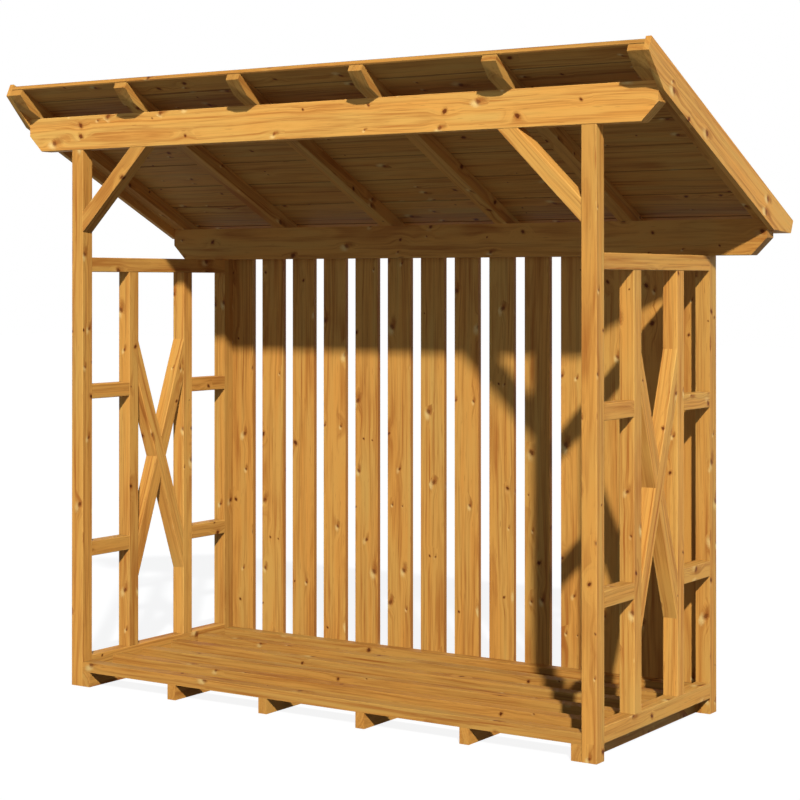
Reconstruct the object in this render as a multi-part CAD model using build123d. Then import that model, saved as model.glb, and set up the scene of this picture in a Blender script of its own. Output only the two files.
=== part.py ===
"""Open-fronted log store with a lean-to roof, built as separate timber pieces.

Millimetres, +Z up. The open front faces -Y and the store's width runs along X.
The origin is on the ground, under the middle of the whole outline.
"""

import os
from math import atan2, cos, degrees, sin, tan

from build123d import *

# Overall frame
frame_width = 1830.0            # outer faces of the left and right posts
frame_depth = 750.0             # front face of the front posts to the back face of the rear posts
front_post_height = 1660.0
rear_post_height = 1327.0

# Timber sections
post_size = 45.0                # posts, studs, side rails and all braces are square
beam_depth = 105.0              # height of the front and rear beams at their front edge
lath_thickness = 30.0           # thin side of the bearers and floor slats
lath_width = 45.0               # wide side of the same pieces
wall_board_width = 88.0
wall_board_thickness = 16.0
wall_board_count = 14
rafter_width = 45.0
rafter_depth = 41.0             # square to the roof slope
roof_board_thickness = 16.0
roof_board_width = 145.0        # one full board, measured down the slope
barge_thickness = 16.0
barge_width = 88.0

# Beams
beam_overhang = 177.5           # past the outer face of each end post
beam_end_cut = 50.0             # 45 degree cut under each end

# Floor
bearer_count = 6
floor_slat_count = 6

# Side panels
bottom_rail_height = 45.0       # ground to the underside of the bottom rail
stud_bay = 173.0                # clear gap from a post to the stud next to it
lower_rail_height = 398.0       # ground to the underside of the lower short rail
upper_rail_height = 887.0       # ground to the underside of the upper short rail
cross_centre_height = 685.0
cross_rise = 622.0              # rise of a cross brace's centre line between the studs

# Front braces
brace_leg = 255.0               # post or beam face to the brace's outer edge

# Roof
rafter_count = 6
roof_front_run = 108.8          # down the slope, from the roof's front end to the front beam
roof_back_run = 141.8           # down the slope, from the front edge of the rear beam to the roof's back end
barge_drop = 25.0               # barge board's lower edge below the rafters' underside
tail_cut_rise = 47.3            # height of the tapered cut on rafter and barge ends
tail_cut_run = 120.0            # its length down the slope

# Clearances
board_joint = 1.0               # open joint between roof boards
wall_board_lap = 1.5            # outer wall boards over the backs of the rear posts
wall_top_gap = 6.0              # from the top of a wall board up to the rafters' underside

# Positions that follow from the sizes above
rear_front_face = frame_depth - post_size
inner_width = frame_width - 2 * post_size
slope = atan2(front_post_height - rear_post_height, rear_front_face)
down_slope = (cos(slope), -sin(slope))
off_slope = (sin(slope), cos(slope))
front_seat = (0.0, front_post_height + beam_depth)
roof_top = rafter_depth + roof_board_thickness
barge_top = barge_width - barge_drop
tail_cut_start = tail_cut_rise - barge_drop


def roof_point(run, lift):
    """A (y, z) point at a run down the slope and a lift off the rafters' underside."""
    y = front_seat[0] + run * down_slope[0] + lift * off_slope[0]
    z = front_seat[1] + run * down_slope[1] + lift * off_slope[1]
    return (y, z)


roof_start = -roof_front_run
roof_end = rear_front_face / cos(slope) + roof_back_run
roof_front_y = roof_point(roof_start, tail_cut_start)[0]
roof_back_y = roof_point(roof_end, barge_top)[0]
centre_x = frame_width / 2
centre_y = (roof_front_y + roof_back_y) / 2


def move_to_origin(shape):
    return Pos(-centre_x, -centre_y, 0) * shape


def save(node, shape):
    export_step(move_to_origin(shape), f"parts/{node}.step")


def block(x, y, z, length_x, length_y, length_z):
    """A rectangular piece with its lowest corner at (x, y, z)."""
    centre = (x + length_x / 2, y + length_y / 2, z + length_z / 2)
    return Pos(*centre) * Box(length_x, length_y, length_z)


def prism_along_x(outline, x, length):
    """A piece with a (y, z) outline, from x over its length."""
    corners = [(x, y, z) for y, z in outline]
    face = make_face(Polyline(*corners, close=True))
    return extrude(face, amount=length, dir=(1, 0, 0))


def prism_along_y(outline, y, length):
    """A piece with an (x, z) outline, from y over its length."""
    corners = [(x, y, z) for x, z in outline]
    face = make_face(Polyline(*corners, close=True))
    return extrude(face, amount=length, dir=(0, 1, 0))


# Posts
def post(x, y, height):
    return block(x, y, 0, post_size, post_size, height)


right_post_x = frame_width - post_size


def make_posts():
    save("front_left_post", post(0, 0, front_post_height))
    save("front_right_post", post(right_post_x, 0, front_post_height))
    save("rear_left_post", post(0, rear_front_face, rear_post_height))
    save("rear_right_post", post(right_post_x, rear_front_face, rear_post_height))


# Beams: the top is planed to the roof slope, and the ends are cut back underneath
def end_cut(x, direction, y, z):
    outline = [(x, z), (x - direction * beam_end_cut, z), (x, z + beam_end_cut)]
    return prism_along_y(outline, y, post_size)


def beam(y, z):
    top = z + beam_depth
    back_top = top - post_size * tan(slope)
    outline = [(y, z), (y + post_size, z), (y + post_size, back_top), (y, top)]
    left = -beam_overhang
    right = frame_width + beam_overhang
    piece = prism_along_x(outline, left, right - left)
    return piece - end_cut(left, -1, y, z) - end_cut(right, 1, y, z)


def make_beams():
    save("front_beam", beam(0, front_post_height))
    save("rear_beam", beam(rear_front_face, rear_post_height))


# Front corner braces at 45 degrees, cut flat to the post and to the beam
def front_brace(x, direction):
    inner_leg = brace_leg - post_size * 2 ** 0.5
    top = front_post_height
    outline = [
        (x, top - brace_leg),
        (x, top - inner_leg),
        (x + direction * inner_leg, top),
        (x + direction * brace_leg, top),
    ]
    return prism_along_y(outline, 0, post_size)


def make_front_braces():
    save("front_left_brace", front_brace(post_size, 1))
    save("front_right_brace", front_brace(right_post_x, -1))


# Floor: bearers on the ground carry the slats
def evenly(first, last, count):
    step = (last - first) / (count - 1)
    return [first + step * index for index in range(count)]


def make_bearers():
    starts = evenly(post_size, right_post_x - lath_thickness, bearer_count)
    for number, x in enumerate(starts, start=1):
        save(f"bearer_{number}", block(x, 0, 0, lath_thickness, frame_depth, lath_width))


def make_floor_slats():
    starts = evenly(0, frame_depth - lath_width, floor_slat_count)
    slats = [
        block(post_size, y, lath_width, inner_width, lath_width, lath_thickness)
        for y in starts
    ]
    save("floor_slats", Compound(children=slats))


# Side panels
first_stud = post_size + stud_bay
second_stud = rear_front_face - stud_bay - post_size
top_rail_height = rear_post_height - post_size
bottom_rail_top = bottom_rail_height + post_size
stud_gap = second_stud - first_stud - post_size


def rail(x, y, z, length):
    return block(x, y, z, post_size, length, post_size)


def stud(x, y):
    return block(x, y, bottom_rail_top, post_size, post_size, top_rail_height - bottom_rail_top)


def cross_outline(direction):
    """The (y, z) outline of a cross brace that falls to the back for direction 1."""
    start = first_stud + post_size
    end = second_stud
    half_rise = direction * cross_rise / 2
    half_width = post_size / 2 / cos(atan2(cross_rise, stud_gap))
    high = cross_centre_height + half_rise
    low = cross_centre_height - half_rise
    return [
        (start, high - half_width),
        (end, low - half_width),
        (end, low + half_width),
        (start, high + half_width),
    ]


def cross_braces(x, inner_half_x):
    """Two braces, halved over each other: the first keeps the half nearest the bay."""
    outer_half_x = 2 * x + post_size / 2 - inner_half_x
    falling = prism_along_x(cross_outline(1), x, post_size)
    rising = prism_along_x(cross_outline(-1), x, post_size)
    crossing = falling & rising
    outer_half = crossing & block(outer_half_x, 0, 0, post_size / 2, frame_depth, rear_post_height)
    inner_half = crossing & block(inner_half_x, 0, 0, post_size / 2, frame_depth, rear_post_height)
    return falling - outer_half, rising - inner_half


def make_side_panel(side, x, inner_half_x):
    rail_length = rear_front_face - post_size
    save(f"{side}_top_rail", rail(x, post_size, top_rail_height, rail_length))
    save(f"{side}_bottom_rail", rail(x, post_size, bottom_rail_height, rail_length))
    save(f"{side}_front_stud", stud(x, first_stud))
    save(f"{side}_rear_stud", stud(x, second_stud))
    bays = {"front": post_size, "rear": second_stud + post_size}
    heights = {"lower": lower_rail_height, "upper": upper_rail_height}
    for bay, y in bays.items():
        for level, z in heights.items():
            save(f"{side}_{bay}_{level}_rail", rail(x, y, z, stud_bay))
    falling, rising = cross_braces(x, inner_half_x)
    save(f"{side}_falling_cross_brace", falling)
    save(f"{side}_rising_cross_brace", rising)


def make_side_panels():
    make_side_panel("left", 0, post_size / 2)
    make_side_panel("right", right_post_x, right_post_x)


# Back wall: upright boards on the backs of the rear beam and the last floor slat
def wall_top():
    """The boards stop just under the rafters, which are lowest over the boards' back face."""
    back_face = frame_depth + wall_board_thickness
    return front_seat[1] - back_face * tan(slope) - wall_top_gap


def make_back_wall():
    height = wall_top() - lath_width
    first = post_size - wall_board_lap
    last = right_post_x + wall_board_lap - wall_board_width
    starts = evenly(first, last, wall_board_count)
    boards = [
        block(x, frame_depth, lath_width, wall_board_width, wall_board_thickness, height)
        for x in starts
    ]
    save("back_wall_boards", Compound(children=boards))


# Roof
def tailed_outline(low, high):
    """A (y, z) outline along the slope with square ends, tapered underneath."""
    cut_run = tail_cut_run * (tail_cut_start - low) / tail_cut_rise
    return [
        roof_point(roof_start, tail_cut_start),
        roof_point(roof_start + cut_run, low),
        roof_point(roof_end - cut_run, low),
        roof_point(roof_end, tail_cut_start),
        roof_point(roof_end, high),
        roof_point(roof_start, high),
    ]


roof_left = -beam_overhang
roof_right = frame_width + beam_overhang


def make_rafters():
    outline = tailed_outline(0, rafter_depth)
    starts = evenly(roof_left, roof_right - rafter_width, rafter_count)
    for number, x in enumerate(starts, start=1):
        save(f"rafter_{number}", prism_along_x(outline, x, rafter_width))


def roof_joints():
    """Runs of the joints between roof boards: full boards between two equal ripped ones."""
    middle = (roof_start + roof_end) / 2
    full_boards = int((roof_end - roof_start) // roof_board_width) - 1
    first = middle - full_boards * roof_board_width / 2
    return [first + index * roof_board_width for index in range(full_boards + 1)]


def roof_board(start, end):
    outline = [
        roof_point(start, rafter_depth),
        roof_point(end, rafter_depth),
        roof_point(end, roof_top),
        roof_point(start, roof_top),
    ]
    return prism_along_x(outline, roof_left, roof_right - roof_left)


def make_roof_boards():
    joints = roof_joints()
    starts = [roof_start] + [joint + board_joint / 2 for joint in joints]
    ends = [joint - board_joint / 2 for joint in joints] + [roof_end]
    boards = [roof_board(start, end) for start, end in zip(starts, ends)]
    save("roof_boards", Compound(children=boards))


def make_barge_boards():
    outline = tailed_outline(-barge_drop, barge_top)
    save("left_barge_board", prism_along_x(outline, roof_left - barge_thickness, barge_thickness))
    save("right_barge_board", prism_along_x(outline, roof_right, barge_thickness))


def main():
    os.makedirs("parts", exist_ok=True)
    make_posts()
    make_beams()
    make_front_braces()
    make_bearers()
    make_floor_slats()
    make_side_panels()
    make_back_wall()
    make_rafters()
    make_roof_boards()
    make_barge_boards()
    width = frame_width + 2 * (beam_overhang + barge_thickness)
    print(f"outline {width:.1f} x {roof_back_y - roof_front_y:.1f} mm, slope {degrees(slope):.2f}")


main()
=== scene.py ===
"""Open-fronted log store: planed, honey-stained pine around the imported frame."""

import math
import random

import bmesh
import bpy
from mathutils import Matrix, Quaternion, Vector


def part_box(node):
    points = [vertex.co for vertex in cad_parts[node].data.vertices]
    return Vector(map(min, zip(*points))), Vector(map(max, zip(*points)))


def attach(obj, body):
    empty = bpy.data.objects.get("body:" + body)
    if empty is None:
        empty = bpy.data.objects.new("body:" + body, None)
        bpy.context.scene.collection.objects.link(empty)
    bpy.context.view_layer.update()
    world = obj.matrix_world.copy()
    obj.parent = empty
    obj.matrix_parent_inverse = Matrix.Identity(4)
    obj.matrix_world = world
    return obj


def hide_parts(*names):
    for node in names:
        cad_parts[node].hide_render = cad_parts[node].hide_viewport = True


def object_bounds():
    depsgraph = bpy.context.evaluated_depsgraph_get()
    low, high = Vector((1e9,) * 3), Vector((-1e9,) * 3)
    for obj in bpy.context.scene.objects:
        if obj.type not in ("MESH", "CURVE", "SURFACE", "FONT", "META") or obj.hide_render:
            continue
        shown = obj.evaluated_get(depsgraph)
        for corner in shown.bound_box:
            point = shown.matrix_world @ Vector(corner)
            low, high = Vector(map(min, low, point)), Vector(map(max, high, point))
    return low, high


bl_info = {
    "name": "Log store",
    "version": (1, 0, 0),
    "blender": (4, 5, 0),
    "location": "View3D > Sidebar > Log store",
    "description": "Builds a pine log store with an open front and a lean-to roof",
    "category": "Add Mesh",
}

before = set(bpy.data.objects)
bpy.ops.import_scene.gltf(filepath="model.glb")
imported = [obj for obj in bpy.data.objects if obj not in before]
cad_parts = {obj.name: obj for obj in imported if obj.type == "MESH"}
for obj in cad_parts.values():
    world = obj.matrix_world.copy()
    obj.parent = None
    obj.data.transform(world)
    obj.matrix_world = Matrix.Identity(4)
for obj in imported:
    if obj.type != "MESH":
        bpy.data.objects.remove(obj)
FRAME_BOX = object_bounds()

BODY = "root"
SIDES = ("left", "right")
UP = Vector((0, 0, 1))
RIGHT = Vector((1, 0, 0))
BACK = Vector((0, 1, 0))

# How light each kind of timber is, as a share of the full pine colour. The floor slats, wall boards,
# rafters and roof boards, which stand under the roof, are set darker partly for their own wood and
# partly as painted shade.
TONES = {
    "front_post": 0.87,
    "rear_post": 0.83,
    "front_beam": 1.04,
    "rear_beam": 0.79,
    "front_brace": 0.94,
    "side_rail": 0.88,
    "stud": 0.92,
    "cross_brace": 0.92,
    "bearer": 0.88,
    "floor_slat": 0.72,
    "wall_board": 0.82,
    "rafter": 0.81,
    "barge_board": 0.97,
    "roof_board": 0.73,
}

# The share of the places for a knot that hold one, by slot, and how much more often some timbers do
KNOTTY = {"frame_timber": 0.32, "roof_boards": 0.26, "wall_boards": 0.27, "floor_slats": 0.22}
EXTRA_KNOTS = {"post": 1.4, "front_beam": 1.9, "rear_beam": 1.2, "cross_brace": 0.7}

# Cuts on the beams' ends, and on the tails of rafters and barge boards
BEAM_END_CUT = 0.05
TAIL_CUT_RUN = 0.12
TAIL_CUT_RISE = 0.0473


# Sizes, colours and stage settings that a user would change


class TimberSizes(bpy.types.PropertyGroup):
    post_arris: bpy.props.FloatProperty(
        name="Post arris",
        description="Radius of the eased long edges on posts, rails and beams",
        default=0.0025,
        unit="LENGTH",
    )
    board_arris: bpy.props.FloatProperty(
        name="Board arris",
        description="Radius of the eased long edges on thin boards",
        default=0.0005,
        unit="LENGTH",
    )
    roof_chamfer: bpy.props.FloatProperty(
        name="Roof chamfer",
        description="Chamfer on the roof boards' long edges, which makes V joints",
        default=0.003,
        unit="LENGTH",
    )
    tongue_width: bpy.props.FloatProperty(
        name="Tongue width",
        description="How far a roof board's tongue stands out of its edge",
        default=0.006,
        unit="LENGTH",
    )
    tongue_thickness: bpy.props.FloatProperty(
        name="Tongue thickness",
        description="Thickness of a roof board's tongue",
        default=0.005,
        unit="LENGTH",
    )
    screw_head: bpy.props.FloatProperty(
        name="Screw head",
        description="Diameter of the screw heads on the back wall and the roof",
        default=0.008,
        unit="LENGTH",
    )
    screw_proud: bpy.props.FloatProperty(
        name="Screw stand-out",
        description="How far a screw head stands out of its board",
        default=0.0004,
        unit="LENGTH",
    )


class TimberColours(bpy.types.PropertyGroup):
    earlywood: bpy.props.FloatVectorProperty(
        name="Earlywood",
        description="Pale wood between the dark rings",
        default=(0.86, 0.39, 0.074),
        size=3,
        subtype="COLOR",
    )
    sapwood: bpy.props.FloatVectorProperty(
        name="Sapwood",
        description="Yellower bands of the youngest wood",
        default=(0.80, 0.44, 0.10),
        size=3,
        subtype="COLOR",
    )
    latewood: bpy.props.FloatVectorProperty(
        name="Latewood",
        description="Darker streaks of the rings",
        default=(0.52, 0.175, 0.028),
        size=3,
        subtype="COLOR",
    )
    knot: bpy.props.FloatVectorProperty(
        name="Knot",
        description="Heart of a knot",
        default=(0.15, 0.032, 0.005),
        size=3,
        subtype="COLOR",
    )
    # The pale patch beside a knot is partly swirled wood and partly a painted highlight
    halo: bpy.props.FloatVectorProperty(
        name="Knot halo",
        description="Pale swirled wood beside a knot",
        default=(1.0, 0.68, 0.24),
        size=3,
        subtype="COLOR",
    )
    steel: bpy.props.FloatVectorProperty(
        name="Screw steel",
        description="Zinc-plated screw heads",
        default=(0.55, 0.53, 0.48),
        size=3,
        subtype="COLOR",
    )


class StageSettings(bpy.types.PropertyGroup):
    sun_direction: bpy.props.FloatVectorProperty(
        name="Sun direction",
        description="Points from the store towards the sun",
        default=(0.489, -0.643, 0.550),
        size=3,
        subtype="DIRECTION",
    )
    sun_strength: bpy.props.FloatProperty(
        name="Sun strength",
        description="Strength of the sun lamp",
        default=3.8,
    )
    sun_angle: bpy.props.FloatProperty(
        name="Sun angle",
        description="Apparent size of the sun, which softens shadows",
        default=math.radians(1.8),
        subtype="ANGLE",
    )
    sky_strength: bpy.props.FloatProperty(
        name="Sky strength",
        description="Strength of the soft light at the horizon, which fades overhead",
        default=0.74,
    )
    side_dimming: bpy.props.FloatProperty(
        name="Side dimming",
        description="How much darker the sky is on the store's two sides than at the front",
        default=0.75,
        subtype="FACTOR",
    )
    back_fill: bpy.props.FloatProperty(
        name="Back fill",
        description="How much brighter the sky is behind the store, away from the sun",
        default=1.8,
    )
    floor_glow: bpy.props.FloatProperty(
        name="Floor glow",
        description="Strength of the soft light that the floor throws up",
        default=0.19,
    )
    floor_shade: bpy.props.FloatProperty(
        name="Floor shade",
        description="How strongly the pale floor shows light and shadow",
        default=0.15,
        subtype="FACTOR",
    )
    camera_place: bpy.props.FloatVectorProperty(
        name="Camera place",
        description="Where the camera stands",
        default=(3.2647, -4.8859, 1.2469),
        size=3,
        subtype="TRANSLATION",
    )
    camera_turn: bpy.props.FloatProperty(
        name="Camera turn",
        description="How far the camera looks left of the +Y axis",
        default=math.radians(33.324),
        subtype="ANGLE",
    )
    camera_pitch: bpy.props.FloatProperty(
        name="Camera pitch",
        description="How far the camera looks above the horizon",
        default=math.radians(0.239),
        subtype="ANGLE",
    )
    camera_lens: bpy.props.FloatProperty(
        name="Camera lens",
        description="Focal length in millimetres",
        default=87.69,
    )
    camera_shift: bpy.props.FloatProperty(
        name="Camera shift",
        description="Upward shift of the lens that keeps the posts upright",
        default=-0.15625,
    )


def settings():
    return bpy.context.scene.log_store


class LogStoreSettings(bpy.types.PropertyGroup):
    sizes: bpy.props.PointerProperty(type=TimberSizes)
    colours: bpy.props.PointerProperty(type=TimberColours)
    stage: bpy.props.PointerProperty(type=StageSettings)


# The bench: planks are made lying along X, and then stood in the frame


def deselect():
    if bpy.context.object and bpy.context.object.mode != "OBJECT":
        bpy.ops.object.mode_set(mode="OBJECT")
    bpy.ops.object.select_all(action="DESELECT")


def take(piece):
    deselect()
    piece.select_set(True)
    bpy.context.view_layer.objects.active = piece


def edit(piece):
    take(piece)
    bpy.ops.object.mode_set(mode="EDIT")
    bpy.ops.mesh.select_all(action="SELECT")


def leave():
    bpy.ops.object.mode_set(mode="OBJECT")


def block(name, length, width, thickness):
    """A block at the bench's zero, with its length along X, width along Y, thickness along Z."""
    deselect()
    bpy.ops.mesh.primitive_cube_add(size=1.0, calc_uvs=False, scale=(length, width, thickness))
    piece = bpy.context.object
    piece.name = piece.data.name = name
    bpy.ops.object.transform_apply(location=False, rotation=False, scale=True)
    return piece


def ease(piece, radius, segments):
    """Rounds the long edges, as a planer leaves them, or with one segment chamfers them."""
    edit(piece)
    mesh = bmesh.from_edit_mesh(piece.data)
    for edge in mesh.edges:
        run = edge.verts[1].co - edge.verts[0].co
        edge.select = abs(run.normalized().x) > 0.99
    mesh.select_mode = {"EDGE"}
    mesh.select_flush_mode()
    bmesh.update_edit_mesh(piece.data)
    bpy.ops.mesh.bevel(offset=radius, segments=segments, affect="EDGES")
    leave()


def plank(name, length, width, thickness, radius, segments=3):
    piece = block(name, length, width, thickness)
    ease(piece, radius, segments)
    return piece


def saw(piece, point, outward):
    """Saws off what lies beyond a plane, and closes the cut."""
    edit(piece)
    facing = Vector(outward).normalized()
    bpy.ops.mesh.bisect(plane_co=point, plane_no=facing, use_fill=True, clear_outer=True)
    leave()


def combine(piece, tool, operation):
    """Cuts a tool's shape out of a piece, or adds it, and puts the tool away."""
    take(piece)
    change = piece.modifiers.new("shape", "BOOLEAN")
    change.operation = operation
    change.solver = "EXACT"
    change.object = tool
    bpy.ops.object.modifier_apply(modifier=change.name)
    bpy.data.meshes.remove(tool.data)


SMOOTH_BELOW = math.radians(35)

# Where a timber lay in its trunk, along it and away from its pith, and how far its tone strays
TRUNK_LENGTH = 40.0
PITH_ASIDE = (0.15, 0.7)
PITH_DEPTH = (0.025, 0.08)
TONE_SPREAD = 0.04

# Keeps the knots on a timber's four long faces from matching
FACES_APART = 10.0


def face_across(place, normal):
    """How far a point lies across the face that it is on, with the four long faces kept apart."""
    if abs(normal.z) >= abs(normal.y):
        return place.y + math.copysign(2 * FACES_APART, normal.z)
    return place.z + math.copysign(FACES_APART, normal.y)


def is_end(normal):
    """Whether a face is cut across the grain, square or slanting."""
    return abs(normal.x) > 0.5


def is_bevel(normal):
    """Whether a face belongs to a rounded or chamfered long edge."""
    return abs(normal.x) < 0.02 and max(map(abs, normal)) < 0.98


def mark_wood(piece, width, thickness, slot, tone, knotty, jointed):
    """Stores where each point lay in its tree, with X along the trunk, and what kind each face is."""
    dice = random.Random(piece.name)
    start = dice.uniform(0, TRUNK_LENGTH)
    aside = dice.choice((-1, 1)) * dice.uniform(*PITH_ASIDE) * width
    deep = thickness / 2 + dice.uniform(*PITH_DEPTH)
    face = dice.choice((-1, 1))
    is_square = width < 1.3 * thickness
    swap = is_square and dice.random() < 0.5
    places = []
    for vertex in piece.data.vertices:
        x, y, z = vertex.co
        if swap:
            y, z = z, y
        places += (x + start, y + aside, face * z + deep)
    grain = piece.data.attributes.new("grain", "FLOAT_VECTOR", "POINT")
    grain.data.foreach_set("vector", places)

    faces = piece.data.polygons
    on_faces = []
    for polygon in faces:
        for index in polygon.vertices:
            place = piece.data.vertices[index].co
            on_faces += (place.x + start, face_across(place, polygon.normal), 0.0)
    knots = piece.data.attributes.new("knot_place", "FLOAT_VECTOR", "CORNER")
    knots.data.foreach_set("vector", on_faces)

    normals = [polygon.normal.copy() for polygon in faces]
    # The wall boards' narrow edge faces get painted shade
    has_shaded_edges = slot == "wall_boards"
    marks = {
        "tone": [tone * dice.uniform(1 - TONE_SPREAD, 1 + TONE_SPREAD)] * len(faces),
        "knotty": [0.0 if is_end(normal) else knotty * KNOTTY[slot] for normal in normals],
        "end_grain": [float(is_end(normal)) for normal in normals],
        # Rounded long edges, which get a painted highlight
        "arris": [float(is_bevel(normal) and not jointed) for normal in normals],
        # Chamfers of jointed boards, which get painted shade
        "joint": [float(is_bevel(normal) and jointed) for normal in normals],
        "sawn_edge": [float(has_shaded_edges and abs(normal.y) > 0.9) for normal in normals],
    }
    for name, values in marks.items():
        mark = piece.data.attributes.new(name, "FLOAT", "FACE")
        mark.data.foreach_set("value", values)


def stand(piece, middle, along, across):
    """Turns a bench piece so that its length and width run the given ways, and sets it in place."""
    x_axis = Vector(along).normalized()
    z_axis = x_axis.cross(Vector(across)).normalized()
    y_axis = z_axis.cross(x_axis)
    turn = Matrix((x_axis, y_axis, z_axis)).transposed().to_4x4()
    take(piece)
    piece.matrix_world = Matrix.Translation(middle) @ turn
    bpy.ops.object.transform_apply(location=True, rotation=True, scale=True)


def polish(piece):
    """Smooth arrises beside truly flat faces."""
    take(piece)
    bpy.ops.object.shade_smooth_by_angle(angle=SMOOTH_BELOW)
    flat = piece.modifiers.new("flat", "WEIGHTED_NORMAL")
    flat.keep_sharp = True
    bpy.ops.object.modifier_apply(modifier=flat.name)


def belong(piece, material, slot, *nodes):
    piece.data.materials.clear()
    piece.data.materials.append(material)
    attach(piece, BODY)
    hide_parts(*nodes)


def finish_timber(
    piece, width, thickness, middle, along, across, slot, tone, *nodes, knotty=1.0, jointed=False
):
    mark_wood(piece, width, thickness, slot, tone, knotty, jointed)
    stand(piece, middle, along, across)
    polish(piece)
    belong(piece, pine(), slot, *nodes)


# The frame's own sizes


def span(node):
    """The middle and the size of a frame node."""
    low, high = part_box(node)
    return (low + high) / 2, high - low


def roof_slope():
    """The angle of the roof, from the tops of the two beams."""
    front_low, front_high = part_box("front_beam")
    rear_low, rear_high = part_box("rear_beam")
    return math.atan2(front_high.z - rear_high.z, rear_low.y - front_low.y)


def down_slope():
    angle = roof_slope()
    return Vector((0, math.cos(angle), -math.sin(angle)))


def off_slope():
    angle = roof_slope()
    return Vector((0, math.sin(angle), math.cos(angle)))


def roof_place(run, lift, x):
    """A point down the slope and off the rafters' underside, at x."""
    low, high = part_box("front_beam")
    seat = Vector((x, low.y, high.z))
    return seat + down_slope() * run + off_slope() * lift


def straight(name, node, slot, tone, radius, low=None, high=None, knotty=1.0):
    """A straight timber that fills a box, with its length along the box's longest side."""
    if low is None:
        low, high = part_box(node)
    size = high - low
    order = sorted(range(3), key=lambda axis: -size[axis])
    axes = [Vector([float(axis == way) for axis in range(3)]) for way in order]
    length, width, thickness = (size[way] for way in order)
    piece = plank(name, length, width, thickness, radius)
    middle = (low + high) / 2
    finish_timber(piece, width, thickness, middle, axes[0], axes[1], slot, tone, node, knotty=knotty)


# Pine


def wire(tree, kind, inputs=None, **values):
    """A new node with its settings and inputs, which are numbers, colours or sockets."""
    node = tree.nodes.new(kind)
    for name, value in values.items():
        setattr(node, name, value)
    for key, value in (inputs or {}).items():
        socket = node.inputs[key]
        if isinstance(value, bpy.types.NodeSocket):
            tree.links.new(value, socket)
        else:
            socket.default_value = value
    return node


def new_material(name):
    material = bpy.data.materials.new(name)
    material.use_nodes = True
    material.node_tree.nodes.clear()
    return material, material.node_tree


def maths(tree, operation, first, second=0.0, third=0.0, clamp=False):
    inputs = {0: first, 1: second, 2: third}
    return wire(tree, "ShaderNodeMath", inputs, operation=operation, use_clamp=clamp).outputs[0]


def vectors(tree, operation, first, second=(0.0, 0.0, 0.0)):
    """Vector maths, where LENGTH gives a number."""
    node = wire(tree, "ShaderNodeVectorMath", {0: first, 1: second}, operation=operation)
    return node.outputs["Value" if operation == "LENGTH" else "Vector"]


def scaled(tree, vector, factor):
    inputs = {0: vector, "Scale": factor}
    return wire(tree, "ShaderNodeVectorMath", inputs, operation="SCALE").outputs[0]


def mark_on(tree, name, output="Fac"):
    """What mark_wood stored on the piece under a name."""
    return wire(tree, "ShaderNodeAttribute", attribute_name=name).outputs[output]


def stretched_noise(tree, place, scale, detail, roughness=0.5, output="Fac"):
    """Noise whose cells are 1/scale long on each of the three grain axes."""
    stretch = vectors(tree, "MULTIPLY", place, scale)
    inputs = {"Vector": stretch, "Scale": 1.0, "Detail": detail, "Roughness": roughness}
    return wire(tree, "ShaderNodeTexNoise", inputs).outputs[output]


def vary(tree, noise, amount, base, clamp=False):
    """Moves a value up and down by noise about its middle."""
    centred = maths(tree, "SUBTRACT", noise, 0.5)
    return maths(tree, "MULTIPLY_ADD", centred, amount, base, clamp=clamp)


def soft_step(tree, value, start, end):
    inputs = {"Value": value, "From Min": start, "From Max": end, "To Min": 0.0, "To Max": 1.0}
    node = wire(tree, "ShaderNodeMapRange", inputs, interpolation_type="SMOOTHSTEP")
    return node.outputs[0]


def blend(tree, amount, first, second):
    """Mixes two colours, each a socket or three numbers."""
    node = wire(tree, "ShaderNodeMix", {0: amount}, data_type="RGBA")
    for socket, value in ((node.inputs[6], first), (node.inputs[7], second)):
        if isinstance(value, bpy.types.NodeSocket):
            tree.links.new(value, socket)
        else:
            socket.default_value = (*value, 1.0)
    return node.outputs[2]


def tint(tree, wood, where, strength, colour):
    """Lays a colour over the wood where a mask says."""
    return blend(tree, maths(tree, "MULTIPLY", where, strength), wood, colour)


# Places for a knot on a metre of a face, along the grain and across it
KNOTS_PER_METRE = (9.0, 22.0, 1.0)
KNOT_SCATTER = 0.8
LARGEST_KNOT = 0.0088
SMALLEST_KNOT = 0.24 * LARGEST_KNOT
RING_WIDTH = 0.0034
PITH_SWING = 0.026

FLECK = (0.42, 0.14, 0.024)
# Dark smear beside a knot, also used as painted shade on the wall boards' edges
SMEAR_AND_EDGE_SHADE = (0.40, 0.12, 0.018)
RUST = (0.42, 0.115, 0.016)
# Painted highlight that lightens the rounded long edges
ARRIS_HIGHLIGHT = (1.0, 0.6, 0.17)
# Painted shade for the V joints between the roof boards
GROOVE_SHADE = (0.12, 0.05, 0.012)
END_GRAIN = (0.5, 0.21, 0.04)
DULL_ZINC = (0.3, 0.28, 0.24)


def pith_distance(tree, grain):
    """How far a point lies from its tree's gently wandering pith."""
    wander = stretched_noise(tree, grain, (1.3, 4.0, 4.0), 1.0, output="Color")
    centred = vectors(tree, "SUBTRACT", wander, (0.5, 0.5, 0.5))
    swing = vectors(tree, "MULTIPLY", centred, (0.0, PITH_SWING, PITH_SWING))
    bent = vectors(tree, "ADD", grain, swing)
    return vectors(tree, "LENGTH", vectors(tree, "MULTIPLY", bent, (0.0, 1.0, 1.0)))


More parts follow.
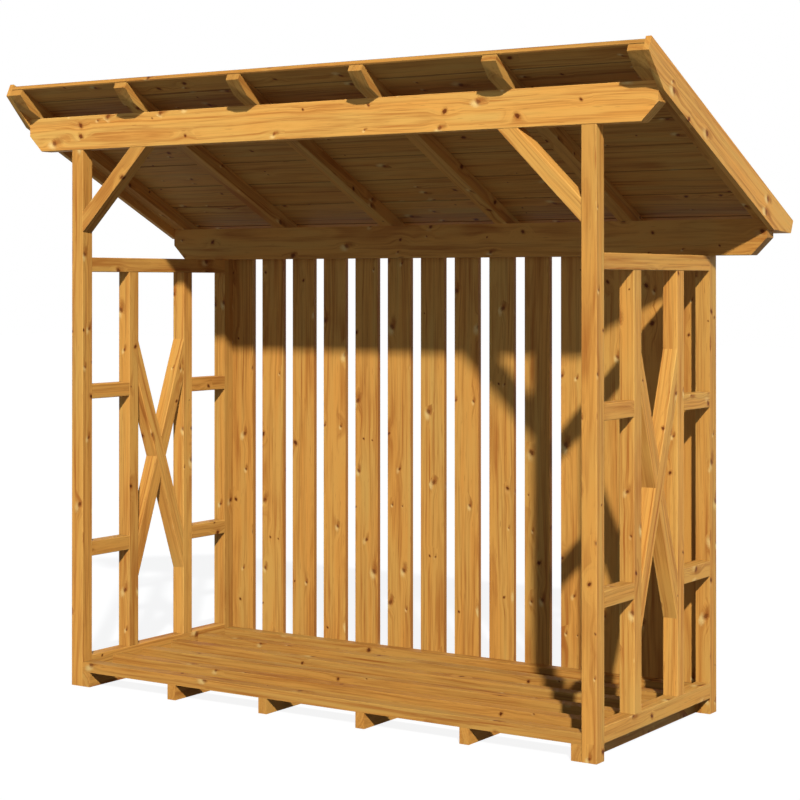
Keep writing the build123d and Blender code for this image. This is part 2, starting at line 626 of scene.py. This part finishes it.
def nearest_knot(tree):
    """The step from the nearest knot's heart in radii, its radius, lean, reach, presence and swirl."""
    place = vectors(tree, "MULTIPLY", mark_on(tree, "knot_place", "Vector"), KNOTS_PER_METRE)
    spread = {"Vector": place, "Scale": 1.0, "Randomness": KNOT_SCATTER}
    cells = wire(tree, "ShaderNodeTexVoronoi", spread, voronoi_dimensions="2D").outputs
    step = vectors(tree, "SUBTRACT", place, cells["Position"])
    step = vectors(tree, "DIVIDE", step, KNOTS_PER_METRE)
    size_chance, lean_chance, swirl_chance = wire(
        tree, "ShaderNodeSeparateColor", {0: cells["Color"]}
    ).outputs
    knotty = mark_on(tree, "knotty")
    size = maths(tree, "ADD", size_chance, maths(tree, "SUBTRACT", knotty, 1.0))
    size = maths(tree, "DIVIDE", size, maths(tree, "MAXIMUM", knotty, 0.01), clamp=True)
    there = soft_step(tree, size, 0.0, 0.02)
    radius = maths(tree, "MULTIPLY_ADD", size, LARGEST_KNOT - SMALLEST_KNOT, SMALLEST_KNOT)
    step = scaled(tree, step, maths(tree, "DIVIDE", 1.0, radius))
    lean = maths(tree, "SIGN", maths(tree, "SUBTRACT", lean_chance, 0.35))
    reach = maths(tree, "MULTIPLY", there, soft_step(tree, cells["Distance"], 0.6, 0.0))
    return step, radius, lean, reach, there, soft_step(tree, swirl_chance, 0.25, 0.6)


def spot(tree, step, shift, stretch, lean):
    """Distance to a slanted spot beside a knot, as a share of the knot's radius."""
    shift = vectors(tree, "SUBTRACT", step, shift)
    along, aside, deep = wire(tree, "ShaderNodeSeparateXYZ", {0: shift}).outputs
    slant = maths(tree, "MULTIPLY", aside, maths(tree, "MULTIPLY", lean, 0.3))
    along = maths(tree, "MULTIPLY", maths(tree, "ADD", along, slant), 1.0 / stretch)
    place = wire(tree, "ShaderNodeCombineXYZ", {0: along, 1: aside, 2: deep}).outputs[0]
    return vectors(tree, "LENGTH", place)


def knot_masks(tree, grain, step, lean, there, swirl):
    """A knot's dark heart, the rust round it, and the pale patch, partly a painted highlight, and the
    dark smear beside it.
    """
    ragged = stretched_noise(tree, grain, (190.0, 190.0, 190.0), 2.0)
    ragged = maths(tree, "MULTIPLY", maths(tree, "SUBTRACT", ragged, 0.5), 1.1)
    distance = maths(tree, "ADD", spot(tree, step, (0.0, 0.0, 0.0), 1.0, lean), ragged)
    heart = maths(tree, "MULTIPLY", soft_step(tree, distance, 1.05, 0.55), there)
    rust = maths(tree, "MULTIPLY", soft_step(tree, distance, 1.9, 0.8), there)
    swirled = maths(tree, "MULTIPLY", there, swirl)
    pale_aside = maths(tree, "MULTIPLY_ADD", lean, 0.4, -1.2)
    pale_shift = wire(tree, "ShaderNodeCombineXYZ", {0: -1.3, 1: pale_aside}).outputs[0]
    pale = maths(tree, "ADD", spot(tree, step, pale_shift, 1.5, lean), ragged)
    pale = maths(tree, "MULTIPLY", soft_step(tree, pale, 2.0, 0.2), swirled)
    smear = maths(tree, "ADD", spot(tree, step, (1.6, 0.7, 0.0), 2.0, lean), ragged)
    smear = maths(tree, "MULTIPLY", soft_step(tree, smear, 1.9, 0.2), swirled)
    return heart, rust, pale, smear


def pine():
    """Planed pine with a honey-coloured stain: rings, fibres, knots with pale swirls, and end grain,
    with painted highlights on the rounded edges and beside the knots, and painted shade in the roof
    joints and on the wall boards' edges.
    """
    if "pine" in bpy.data.materials:
        return bpy.data.materials["pine"]
    colours = settings().colours
    material, tree = new_material("pine")
    grain = mark_on(tree, "grain", "Vector")
    tone = mark_on(tree, "tone")
    step, radius, lean, reach, there, swirl = nearest_knot(tree)
    heart, rust, pale, smear = knot_masks(tree, grain, step, lean, there, swirl)

    # Rings flow round each knot
    bulge = maths(tree, "MULTIPLY", maths(tree, "MULTIPLY", reach, radius), 1.1)
    ring_place = maths(tree, "ADD", bulge, pith_distance(tree, grain))
    ring = maths(tree, "FRACT", maths(tree, "DIVIDE", ring_place, RING_WIDTH))
    late = maths(tree, "POWER", ring, 3.0)
    along = wire(tree, "ShaderNodeSeparateXYZ", {0: grain}).outputs[0]
    band_place = wire(tree, "ShaderNodeCombineXYZ", {"X": ring_place, "Y": along}).outputs[0]
    broad = stretched_noise(tree, band_place, (45.0, 0.8, 1.0), 2.0)
    middling = stretched_noise(tree, band_place, (110.0, 1.5, 1.0), 2.0)
    thin = stretched_noise(tree, band_place, (260.0, 4.5, 1.0), 2.0, 0.6)
    veins = soft_step(tree, stretched_noise(tree, band_place, (170.0, 3.4, 1.0), 1.0), 0.58, 0.74)
    streaks = stretched_noise(tree, grain, (5.0, 150.0, 150.0), 2.0)
    fibres = stretched_noise(tree, grain, (9.0, 620.0, 620.0), 3.0, 0.65)
    flecks = soft_step(tree, stretched_noise(tree, grain, (22.0, 300.0, 300.0), 1.0), 0.66, 0.8)
    clouds = stretched_noise(tree, grain, (3.2, 16.0, 16.0), 2.0)

    # Yellower sapwood and dark latewood over the pale earlywood
    sap = maths(tree, "MULTIPLY_ADD", tone, 0.8, -0.36)
    sap = vary(tree, clouds, 1.5, sap)
    sap = vary(tree, broad, 2.5, sap, clamp=True)
    wood = blend(tree, sap, colours.earlywood, colours.sapwood)
    depth = vary(tree, middling, 2.4, 0.14)
    depth = vary(tree, thin, 1.25, depth)
    depth = vary(tree, streaks, 1.0, depth)
    depth = maths(tree, "MULTIPLY_ADD", late, 0.16, depth)
    depth = vary(tree, fibres, 1.0, depth)
    depth = maths(tree, "MULTIPLY_ADD", veins, 0.42, depth, clamp=True)
    wood = blend(tree, depth, wood, colours.latewood)
    wood = tint(tree, wood, flecks, 0.5, FLECK)

    wood = tint(tree, wood, smear, 0.75, SMEAR_AND_EDGE_SHADE)
    # Pale patch beside a knot: swirled wood with a painted highlight on it
    wood = tint(tree, wood, pale, 0.85, colours.halo)
    wood = tint(tree, wood, rust, 0.6, RUST)
    wood = tint(tree, wood, heart, maths(tree, "MULTIPLY_ADD", swirl, -0.3, 0.95), colours.knot)

    # Painted highlight along the rounded long edges
    wood = tint(tree, wood, mark_on(tree, "arris"), 0.12, ARRIS_HIGHLIGHT)
    # Painted shade in the V joints between the roof boards
    wood = tint(tree, wood, mark_on(tree, "joint"), 0.5, GROOVE_SHADE)
    # Painted shade on the wall boards' narrow edge faces
    wood = tint(tree, wood, mark_on(tree, "sawn_edge"), 0.6, SMEAR_AND_EDGE_SHADE)
    wood = tint(tree, wood, mark_on(tree, "end_grain"), 0.3, END_GRAIN)
    wood = scaled(tree, wood, tone)

    height = maths(tree, "MULTIPLY_ADD", late, 0.35, fibres)
    height = maths(tree, "MULTIPLY_ADD", heart, 0.6, height)
    relief = wire(tree, "ShaderNodeBump", {"Strength": 0.35, "Distance": 0.0006, "Height": height})
    roughness = maths(tree, "MULTIPLY_ADD", fibres, 0.25, 0.5)
    surface = wire(tree, "ShaderNodeBsdfPrincipled", {
        "Base Color": wood,
        "Roughness": roughness,
        "Normal": relief.outputs[0],
        "Specular IOR Level": 0.1,
    })
    wire(tree, "ShaderNodeOutputMaterial", {"Surface": surface.outputs[0]})
    return material


def screw_steel():
    """Dull zinc plating with faint cloudy patches."""
    if "screw_steel" in bpy.data.materials:
        return bpy.data.materials["screw_steel"]
    material, tree = new_material("screw_steel")
    place = wire(tree, "ShaderNodeTexCoord").outputs["Object"]
    patches = stretched_noise(tree, place, (900.0, 900.0, 900.0), 2.0)
    surface = wire(tree, "ShaderNodeBsdfPrincipled", {
        "Base Color": blend(tree, patches, settings().colours.steel, DULL_ZINC),
        "Roughness": maths(tree, "MULTIPLY_ADD", patches, 0.3, 0.3),
        "Metallic": 1.0,
    })
    wire(tree, "ShaderNodeOutputMaterial", {"Surface": surface.outputs[0]})
    return material


# The store's pieces


class LOGSTORE_OT_posts(bpy.types.Operator):
    """Four square posts, the front pair taller"""

    bl_idname = "logstore.posts"
    bl_label = "Posts"

    def execute(self, context):
        # The rear posts stay crisp, so that no light shows where the wall boards lap them
        sizes = settings().sizes
        for row, arris in (("front", sizes.post_arris), ("rear", sizes.board_arris)):
            for side in SIDES:
                node = f"{row}_{side}_post"
                tone, knotty = TONES[f"{row}_post"], EXTRA_KNOTS["post"]
                straight(f"{node}_timber", node, "frame_timber", tone, arris, knotty=knotty)
        return {"FINISHED"}


def beam(node):
    """A beam with its top planed to the roof's slope and its ends cut back underneath."""
    middle, size = span(node)
    piece = plank(f"{node}_timber", size.x, size.z, size.y, settings().sizes.post_arris)
    angle = roof_slope()
    front_edge = Vector((0, size.z / 2, size.y / 2))
    saw(piece, front_edge, (0, math.cos(angle), -math.sin(angle)))
    for way in (-1, 1):
        saw(piece, (way * (size.x / 2 - BEAM_END_CUT), -size.z / 2, 0), (way, -1, 0))
    tone, knotty = TONES[node], EXTRA_KNOTS[node]
    finish_timber(piece, size.z, size.y, middle, RIGHT, UP, "frame_timber", tone, node, knotty=knotty)


class LOGSTORE_OT_beams(bpy.types.Operator):
    """The front and rear beams on the posts"""

    bl_idname = "logstore.beams"
    bl_label = "Beams"

    def execute(self, context):
        beam("front_beam")
        beam("rear_beam")
        return {"FINISHED"}


class LOGSTORE_OT_front_braces(bpy.types.Operator):
    """The two corner braces under the front beam"""

    bl_idname = "logstore.front_braces"
    bl_label = "Front braces"

    def execute(self, context):
        for side, way in (("left", 1), ("right", -1)):
            node = f"front_{side}_brace"
            low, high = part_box(node)
            width = high.y - low.y
            leg = high.x - low.x
            middle_leg = leg - width / math.sqrt(2)
            piece = plank(f"{node}_timber", 2 * leg, width, width, settings().sizes.post_arris)
            reach = middle_leg / math.sqrt(2)
            saw(piece, (reach, 0, 0), (1, 1, 0))
            saw(piece, (-reach, 0, 0), (-1, 1, 0))
            post_x = low.x if way > 0 else high.x
            middle_x = post_x + way * middle_leg / 2
            middle = Vector((middle_x, (low.y + high.y) / 2, high.z - middle_leg / 2))
            along, across = (way, 0, 1), (-way, 0, 1)
            tone = TONES["front_brace"]
            finish_timber(piece, width, width, middle, along, across, "frame_timber", tone, node)
        return {"FINISHED"}


class LOGSTORE_OT_side_rails(bpy.types.Operator):
    """The long and short rails of both side panels"""

    bl_idname = "logstore.side_rails"
    bl_label = "Side rails"

    def execute(self, context):
        rails = ["top", "bottom", "front_lower", "front_upper", "rear_lower", "rear_upper"]
        arris = settings().sizes.post_arris
        for side in SIDES:
            for rail in rails:
                node = f"{side}_{rail}_rail"
                straight(f"{node}_timber", node, "frame_timber", TONES["side_rail"], arris)
        return {"FINISHED"}


class LOGSTORE_OT_studs(bpy.types.Operator):
    """The two studs in each side panel"""

    bl_idname = "logstore.studs"
    bl_label = "Side studs"

    def execute(self, context):
        arris = settings().sizes.post_arris
        for side in SIDES:
            for place in ("front", "rear"):
                node = f"{side}_{place}_stud"
                straight(f"{node}_timber", node, "frame_timber", TONES["stud"], arris)
        return {"FINISHED"}


def brace_rise(size, width):
    """How far a brace's centre line climbs between the studs, from the height that it fills."""
    gap, height = size.y, size.z
    share = 1 - (width / gap) ** 2
    return (height - math.sqrt(height**2 - share * (height**2 - width**2))) / share


def cross_brace(side, name, fall):
    """A brace with upright ends, halved where the other one crosses it."""
    node = f"{side}_{name}_cross_brace"
    middle, size = span(node)
    width = size.x
    rise = brace_rise(size, width)
    reach = math.hypot(size.y, rise)
    piece = plank(f"{node}_timber", reach + 4 * width, width, width, settings().sizes.post_arris)
    lean = rise / size.y
    saw(piece, (reach / 2, 0, 0), (1, fall * lean, 0))
    saw(piece, (-reach / 2, 0, 0), (-1, -fall * lean, 0))
    inner = 1 if side == "left" else -1
    keeps_inner = name == "falling"
    cut_way = -inner if keeps_inner else inner
    cutter = block("halving", 3 * reach, width, width)
    turn = 2 * math.atan2(size.y, rise)
    cutter.matrix_world = (
        Matrix.Translation((0, 0, cut_way * width / 2)) @ Matrix.Rotation(-fall * turn, 4, "Z")
    )
    bpy.ops.object.transform_apply(location=True, rotation=True, scale=True)
    combine(piece, cutter, "DIFFERENCE")
    along = Vector((0, size.y, -fall * rise))
    across = Vector((0, fall * rise, size.y))
    tone, knotty = TONES["cross_brace"], EXTRA_KNOTS["cross_brace"]
    finish_timber(
        piece, width, width, middle, along, across, "frame_timber", tone, node, knotty=knotty
    )


class LOGSTORE_OT_cross_braces(bpy.types.Operator):
    """The halved cross braces between the studs"""

    bl_idname = "logstore.cross_braces"
    bl_label = "Cross braces"

    def execute(self, context):
        for side in SIDES:
            cross_brace(side, "falling", 1)
            cross_brace(side, "rising", -1)
        return {"FINISHED"}


def numbered(kind):
    """The frame's nodes kind_1, kind_2 and so on."""
    number = 1
    while f"{kind}_{number}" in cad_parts:
        yield f"{kind}_{number}"
        number += 1


class LOGSTORE_OT_bearers(bpy.types.Operator):
    """The bearers on the ground under the floor"""

    bl_idname = "logstore.bearers"
    bl_label = "Bearers"

    def execute(self, context):
        arris = settings().sizes.board_arris
        for node in numbered("bearer"):
            straight(f"{node}_timber", node, "frame_timber", TONES["bearer"], arris)
        return {"FINISHED"}


def clusters(node, axis):
    """The lowest and highest places of each separate board in a node, along an axis."""
    places = sorted({round(v.co[axis], 5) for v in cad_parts[node].data.vertices})
    return list(zip(places[0::2], places[1::2]))


class LOGSTORE_OT_floor_slats(bpy.types.Operator):
    """The slats of the floor"""

    bl_idname = "logstore.floor_slats"
    bl_label = "Floor slats"

    def execute(self, context):
        low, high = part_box("floor_slats")
        tone, arris = TONES["floor_slat"], settings().sizes.board_arris
        for number, (start, end) in enumerate(clusters("floor_slats", 1), start=1):
            slat_low = Vector((low.x, start, low.z))
            slat_high = Vector((high.x, end, high.z))
            name = f"floor_slat_{number}"
            straight(name, "floor_slats", "floor_slats", tone, arris, slat_low, slat_high)
        return {"FINISHED"}


class LOGSTORE_OT_wall_boards(bpy.types.Operator):
    """The upright boards of the back wall"""

    bl_idname = "logstore.wall_boards"
    bl_label = "Wall boards"

    def execute(self, context):
        low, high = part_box("back_wall_boards")
        tone, arris = TONES["wall_board"], settings().sizes.board_arris
        for number, (start, end) in enumerate(clusters("back_wall_boards", 0), start=1):
            board_low = Vector((start, low.y, low.z))
            board_high = Vector((end, high.y, high.z))
            name = f"wall_board_{number}"
            straight(name, "back_wall_boards", "wall_boards", tone, arris, board_low, board_high)
        return {"FINISHED"}


def slope_extent(node):
    """Lowest and highest run down the slope, and lift off it, of a node."""
    origin = roof_place(0, 0, 0)
    arms = [vertex.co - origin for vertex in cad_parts[node].data.vertices]
    runs = [arm.dot(down_slope()) for arm in arms]
    lifts = [arm.dot(off_slope()) for arm in arms]
    return min(runs), max(runs), min(lifts), max(lifts)


def sloping_board(name, node, slot, tone, radius):
    """A rafter or barge board: square ends above, tapered tails below."""
    start, end, bottom, top = slope_extent(node)
    middle, size = span(node)
    length, width, thickness = end - start, top - bottom, size.x
    piece = plank(name, length, width, thickness, radius)
    tail_top = slope_extent("left_barge_board")[2] + TAIL_CUT_RISE
    drop = tail_top - bottom
    for way in (-1, 1):
        saw(piece, (way * length / 2, drop - width / 2, 0), (way * TAIL_CUT_RISE, -TAIL_CUT_RUN, 0))
    place = roof_place((start + end) / 2, (bottom + top) / 2, middle.x)
    finish_timber(piece, width, thickness, place, down_slope(), off_slope(), slot, tone, node)


class LOGSTORE_OT_rafters(bpy.types.Operator):
    """The sloping rafters with tapered tails"""

    bl_idname = "logstore.rafters"
    bl_label = "Rafters"

    def execute(self, context):
        arris = settings().sizes.post_arris
        for node in numbered("rafter"):
            sloping_board(f"{node}_timber", node, "frame_timber", TONES["rafter"], arris)
        return {"FINISHED"}


class LOGSTORE_OT_barge_boards(bpy.types.Operator):
    """The boards that close the roof's two ends"""

    bl_idname = "logstore.barge_boards"
    bl_label = "Barge boards"

    def execute(self, context):
        tone, arris = TONES["barge_board"], settings().sizes.board_arris
        for side in SIDES:
            node = f"{side}_barge_board"
            sloping_board(f"{side}_barge_timber", node, "roof_boards", tone, arris)
        return {"FINISHED"}


def roof_joints():
    """Runs of the roof boards' joints, from the gaps between the frame's boards."""
    origin = roof_place(0, 0, 0)
    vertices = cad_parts["roof_boards"].data.vertices
    runs = sorted({round((vertex.co - origin).dot(down_slope()), 5) for vertex in vertices})
    return [runs[0]] + [(a + b) / 2 for a, b in zip(runs[1:-1:2], runs[2:-1:2])] + [runs[-1]]


def roof_board(number, start, end, has_tongue, has_groove):
    """A board with a tongue down the slope and a groove up it."""
    sizes = settings().sizes
    middle, size = span("roof_boards")
    bottom, top = slope_extent("roof_boards")[2:]
    width, thickness = end - start, top - bottom
    piece = plank(f"roof_board_{number}", size.x, width, thickness, sizes.roof_chamfer, segments=1)
    if has_tongue:
        tongue = block("tongue", size.x, 2 * sizes.tongue_width, sizes.tongue_thickness)
        tongue.location.y = width / 2
        bpy.ops.object.transform_apply(location=True)
        combine(piece, tongue, "UNION")
    if has_groove:
        room = 0.0006
        depth, height = sizes.tongue_width + room, sizes.tongue_thickness + room
        groove = block("groove", 2 * size.x, 2 * depth, height)
        groove.location.y = -width / 2
        bpy.ops.object.transform_apply(location=True)
        combine(piece, groove, "DIFFERENCE")
    place = roof_place((start + end) / 2, (bottom + top) / 2, middle.x)
    slot = node = "roof_boards"
    tone = TONES["roof_board"]
    finish_timber(
        piece, width, thickness, place, RIGHT, down_slope(), slot, tone, node, jointed=True
    )


class LOGSTORE_OT_roof_boards(bpy.types.Operator):
    """The tongued and grooved boards of the roof"""

    bl_idname = "logstore.roof_boards"
    bl_label = "Roof boards"

    def execute(self, context):
        joints = roof_joints()
        last = len(joints) - 1
        for number in range(1, last + 1):
            roof_board(number, joints[number - 1], joints[number], number < last, number > 1)
        return {"FINISHED"}


# Screws


# Where the two screws in a row stand across a board
SCREW_SHARES = (0.25, 0.75)


def screw_head(name):
    """A countersunk head at the bench's zero that faces along Z, with a round recess."""
    radius = settings().sizes.screw_head / 2
    proud = settings().sizes.screw_proud
    depth, rim, crown = 0.6 * radius, 0.1 * radius, 0.08 * radius
    recess_rim, recess_depth = 0.5 * radius, 0.35 * radius
    deselect()
    bpy.ops.mesh.primitive_cone_add(
        vertices=16,
        radius1=radius / 2,
        radius2=radius,
        depth=depth,
        location=(0, 0, proud - depth / 2),
    )
    piece = bpy.context.object
    piece.name = piece.data.name = name
    bpy.ops.object.transform_apply(location=True)
    edit(piece)
    mesh = bmesh.from_edit_mesh(piece.data)
    for face in mesh.faces:
        face.select = face.normal.z > 0.9
    bmesh.update_edit_mesh(piece.data)
    bpy.ops.mesh.inset(thickness=rim)
    bpy.ops.transform.translate(value=(0, 0, crown))
    bpy.ops.mesh.inset(thickness=recess_rim)
    bpy.ops.mesh.extrude_region_move(TRANSFORM_OT_translate={"value": (0, 0, -recess_depth)})
    leave()
    return piece


def drive_screws(name, places, outward, slot):
    """Copies one head to every place, each turned its own way, and joins them."""
    head = screw_head(name)
    dice = random.Random(name)
    facing = Vector(outward).to_track_quat("Z", "Y")
    copies = [head]
    while len(copies) < len(places):
        take(head)
        bpy.ops.object.duplicate()
        copies.append(bpy.context.object)
    for copy, place in zip(copies, places):
        spin = Quaternion((0, 0, 1), dice.uniform(0, math.pi))
        copy.matrix_world = Matrix.LocRotScale(place, facing @ spin, None)
    deselect()
    for copy in copies:
        copy.select_set(True)
    bpy.context.view_layer.objects.active = head
    bpy.ops.object.join()
    bpy.ops.object.transform_apply(location=True, rotation=True, scale=True)
    belong(head, screw_steel(), slot)


class LOGSTORE_OT_screws(bpy.types.Operator):
    """The screws that hold the wall boards and the roof boards"""

    bl_idname = "logstore.screws"
    bl_label = "Screws"

    def execute(self, context):
        beam_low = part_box("rear_beam")[0]
        board_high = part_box("back_wall_boards")[1]
        slat_low, slat_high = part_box("floor_slats")
        heights = ((beam_low.z + board_high.z) / 2, (slat_low.z + slat_high.z) / 2)
        places = []
        for start, end in clusters("back_wall_boards", 0):
            for share in SCREW_SHARES:
                x = start + share * (end - start)
                places += [Vector((x, board_high.y, height)) for height in heights]
        drive_screws("wall_screws", places, BACK, "screws")
        top = slope_extent("roof_boards")[3]
        joints = roof_joints()
        places = []
        for start, end in zip(joints, joints[1:]):
            for share in SCREW_SHARES:
                run = start + share * (end - start)
                places += [roof_place(run, top, span(node)[0].x) for node in numbered("rafter")]
        drive_screws("roof_screws", places, off_slope(), "screws")
        return {"FINISHED"}


# Stage


def background_or_light(tree, seen, felt):
    """One shader for what the camera and mirrors show, and another for the light on the store."""
    path = wire(tree, "ShaderNodeLightPath").outputs
    shown = maths(tree, "MAXIMUM", path["Is Camera Ray"], path["Is Glossy Ray"])
    shown = maths(tree, "MAXIMUM", shown, path["Is Transmission Ray"])
    return wire(tree, "ShaderNodeMixShader", {0: shown, 1: felt, 2: seen}).outputs[0]


FLOOR_SIZE = 60.0
WHITE = (1.0, 1.0, 1.0, 1.0)
GROUND_LIGHT = (0.84, 1.0, 1.3, 1.0)
SKY_LIGHT = (0.86, 1.0, 1.23, 1.0)
# The share of the ground's light that is left beneath the store, and where it starts to fade
COVERED_GLOW = 0.15
COVERED_REACH = 0.76


def stage_floor():
    stage = settings().stage
    deselect()
    bpy.ops.mesh.primitive_plane_add(size=FLOOR_SIZE, location=(0, 0, 0))
    floor = bpy.context.object
    floor.name = "floor"
    material, tree = new_material("pale_floor")
    white = wire(tree, "ShaderNodeEmission", {"Color": WHITE, "Strength": 1.05}).outputs[0]
    lit = wire(tree, "ShaderNodeBsdfDiffuse", {"Color": WHITE}).outputs[0]
    seen = wire(tree, "ShaderNodeMixShader", {0: stage.floor_shade, 1: white, 2: lit}).outputs[0]
    high = FRAME_BOX[1]
    place = wire(tree, "ShaderNodeTexCoord").outputs["Object"]
    place = vectors(tree, "MULTIPLY", place, (1 / high[0], 1 / high[1], 0.0))
    place = vectors(tree, "ABSOLUTE", place)
    across, deep = wire(tree, "ShaderNodeSeparateXYZ", {0: place}).outputs[0:2]
    uncovered = soft_step(tree, maths(tree, "MAXIMUM", across, deep), COVERED_REACH, 1.0)
    least = COVERED_GLOW * stage.floor_glow
    glow = maths(tree, "MULTIPLY_ADD", uncovered, stage.floor_glow - least, least)
    felt = wire(tree, "ShaderNodeEmission", {"Color": GROUND_LIGHT, "Strength": glow}).outputs[0]
    wire(tree, "ShaderNodeOutputMaterial", {"Surface": background_or_light(tree, seen, felt)})
    floor.data.materials.append(material)


def stage_light():
    stage = settings().stage
    deselect()
    bpy.ops.object.light_add(type="SUN", location=(3, -4, 4))
    sun = bpy.context.object
    sun.data.energy = stage.sun_strength
    sun.data.angle = stage.sun_angle
    sun.data.cycles.max_bounces = 0
    sun.rotation_euler = Vector(stage.sun_direction).to_track_quat("Z", "Y").to_euler()
    world = bpy.data.worlds.new("studio")
    bpy.context.scene.world = world
    world.use_nodes = True
    tree = world.node_tree
    tree.nodes.clear()
    seen = wire(tree, "ShaderNodeBackground", {"Color": WHITE, "Strength": 1.0}).outputs[0]
    ray = wire(tree, "ShaderNodeTexCoord").outputs["Generated"]
    sideways, backward, height = wire(tree, "ShaderNodeSeparateXYZ", {0: ray}).outputs
    strength = maths(tree, "POWER", maths(tree, "SUBTRACT", 1.0, height, clamp=True), 2.0)
    strength = maths(tree, "MULTIPLY", strength, stage.sky_strength)
    fill = maths(tree, "MULTIPLY_ADD", maths(tree, "MAXIMUM", backward, 0.0), stage.back_fill, 1.0)
    fill = maths(tree, "MULTIPLY_ADD", maths(tree, "ABSOLUTE", sideways), -stage.side_dimming, fill)
    strength = maths(tree, "MULTIPLY", strength, fill)
    felt = wire(tree, "ShaderNodeBackground", {"Color": SKY_LIGHT, "Strength": strength}).outputs[0]
    wire(tree, "ShaderNodeOutputWorld", {"Surface": background_or_light(tree, seen, felt)})


def stage_camera():
    stage = settings().stage
    deselect()
    bpy.ops.object.camera_add(location=stage.camera_place)
    camera = bpy.context.object
    camera.rotation_euler = (math.pi / 2 + stage.camera_pitch, 0, stage.camera_turn)
    camera.data.sensor_width = 36.0
    camera.data.lens = stage.camera_lens
    camera.data.shift_y = stage.camera_shift
    bpy.context.scene.camera = camera


class LOGSTORE_OT_stage(bpy.types.Operator):
    """Pale floor, sun, soft sky light and camera"""

    bl_idname = "logstore.stage"
    bl_label = "Stage"

    def execute(self, context):
        stage_floor()
        stage_light()
        stage_camera()
        context.scene.view_settings.view_transform = "Standard"
        return {"FINISHED"}


class LOGSTORE_PT_panel(bpy.types.Panel):
    """Lists the store's pieces in building order"""

    bl_label = "Log store"
    bl_idname = "LOGSTORE_PT_panel"
    bl_space_type = "VIEW_3D"
    bl_region_type = "UI"
    bl_category = "Log store"

    def draw(self, context):
        store = context.scene.log_store
        for group in (store.sizes, store.colours, store.stage):
            box = self.layout.box()
            for name in group.__annotations__:
                box.prop(group, name)
        for operator in OPERATORS:
            self.layout.operator(operator.bl_idname)


OPERATORS = (
    LOGSTORE_OT_posts,
    LOGSTORE_OT_beams,
    LOGSTORE_OT_front_braces,
    LOGSTORE_OT_side_rails,
    LOGSTORE_OT_studs,
    LOGSTORE_OT_cross_braces,
    LOGSTORE_OT_bearers,
    LOGSTORE_OT_floor_slats,
    LOGSTORE_OT_wall_boards,
    LOGSTORE_OT_rafters,
    LOGSTORE_OT_roof_boards,
    LOGSTORE_OT_barge_boards,
    LOGSTORE_OT_screws,
    LOGSTORE_OT_stage,
)
CLASSES = (TimberSizes, TimberColours, StageSettings, LogStoreSettings, *OPERATORS, LOGSTORE_PT_panel)


def register():
    for item in CLASSES:
        bpy.utils.register_class(item)
    bpy.types.Scene.log_store = bpy.props.PointerProperty(type=LogStoreSettings)


def unregister():
    del bpy.types.Scene.log_store
    for item in reversed(CLASSES):
        bpy.utils.unregister_class(item)


def main():
    register()
    for operator in OPERATORS:
        group, name = operator.bl_idname.split(".")
        getattr(getattr(bpy.ops, group), name)()


if __name__ == "__main__":
    main()
